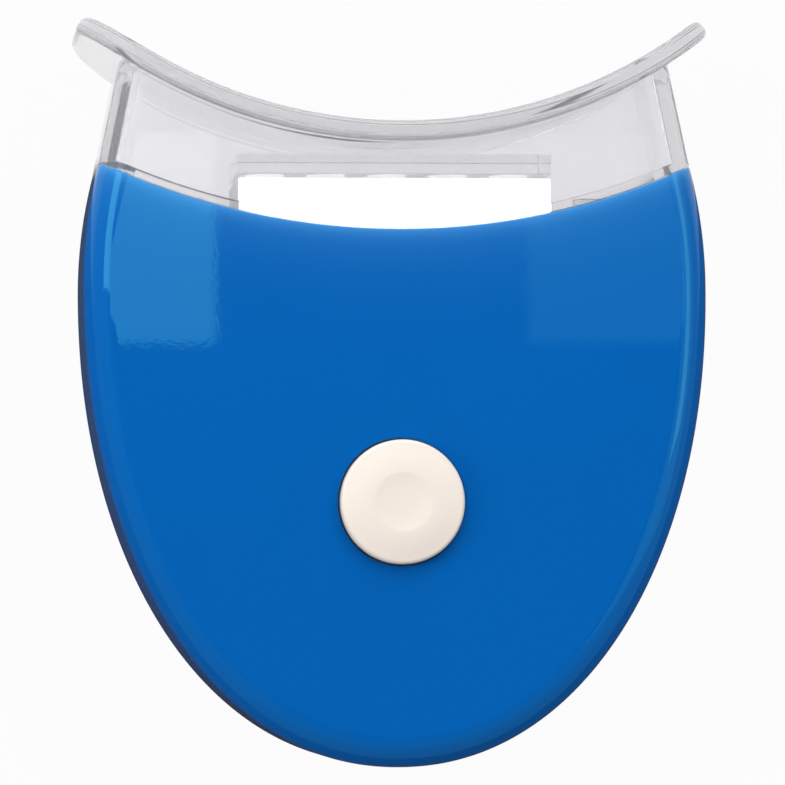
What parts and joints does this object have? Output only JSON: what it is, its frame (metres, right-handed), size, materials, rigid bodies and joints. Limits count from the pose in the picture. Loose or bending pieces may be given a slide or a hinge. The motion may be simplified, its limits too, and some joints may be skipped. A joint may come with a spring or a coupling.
{
  "type": "teeth whitening lamp",
  "caption": "Hand-held teeth whitening lamp: an oval shell with a push button and a clear mouthpiece whose curved lip flange passes the light of a row of small lamps.",
  "frame": {"origin": "middle of the lamp's length and width, on the flat back that it lies on", "axes": "+X across the width, +Y from the rounded tail to the mouthpiece, +Z from the back to the push button"},
  "size_m": [0.0612, 0.072, 0.0237],
  "materials": {
    "blue_shell": "gloss",
    "white_button": "satin",
    "clear_plastic": "gloss",
    "white_reflector": "matte",
    "led_epoxy": "gloss",
    "circuit_board": "satin",
    "switch_plastic": "matte",
    "spring_steel": "satin",
    "cell_steel": "satin",
    "screw_steel": "satin",
    "contact_brass": "satin",
    "resistor_body": "satin",
    "red_insulation": "satin",
    "black_insulation": "satin"
  },
  "bodies": {
    "case": {"front_shell": "blue_shell", "back_shell": "blue_shell", "mouthpiece": "clear_plastic", "lens_plate": "clear_plastic", "reflector": "white_reflector", "led_board": "circuit_board", "main_board": "circuit_board", "switch_body": "switch_plastic", "switch_spring": "spring_steel", "coin_cell_1": "cell_steel", "coin_cell_2": "cell_steel", "positive_contact": "contact_brass", "negative_contact": "contact_brass", "resistor": "resistor_body", "positive_lead": "red_insulation", "negative_lead": "black_insulation", "led_1": "led_epoxy", "led_2": "led_epoxy", "led_3": "led_epoxy", "led_4": "led_epoxy", "led_5": "led_epoxy", "case_screw_1": "screw_steel", "case_screw_2": "screw_steel", "case_screw_3": "screw_steel", "case_screw_4": "screw_steel", "board_screw_1": "screw_steel", "board_screw_2": "screw_steel"},
    "button": {"button": "white_button", "switch_plunger": "white_reflector"},
    "battery_door": {"battery_door": "blue_shell"}
  },
  "joints": [
    {"name": "button_press", "type": "slide", "parent": "case", "child": "button", "axis": [0, 0, -1], "range_m": [0, 0.0012], "stiffness_N_per_m": 1000, "springref_m": -0.001, "deforming": ["switch_spring"]},
    {"name": "battery_door_slide", "type": "slide", "parent": "case", "child": "battery_door", "axis": [0, -1, 0], "range_m": [0, 0.024]}
  ]
}
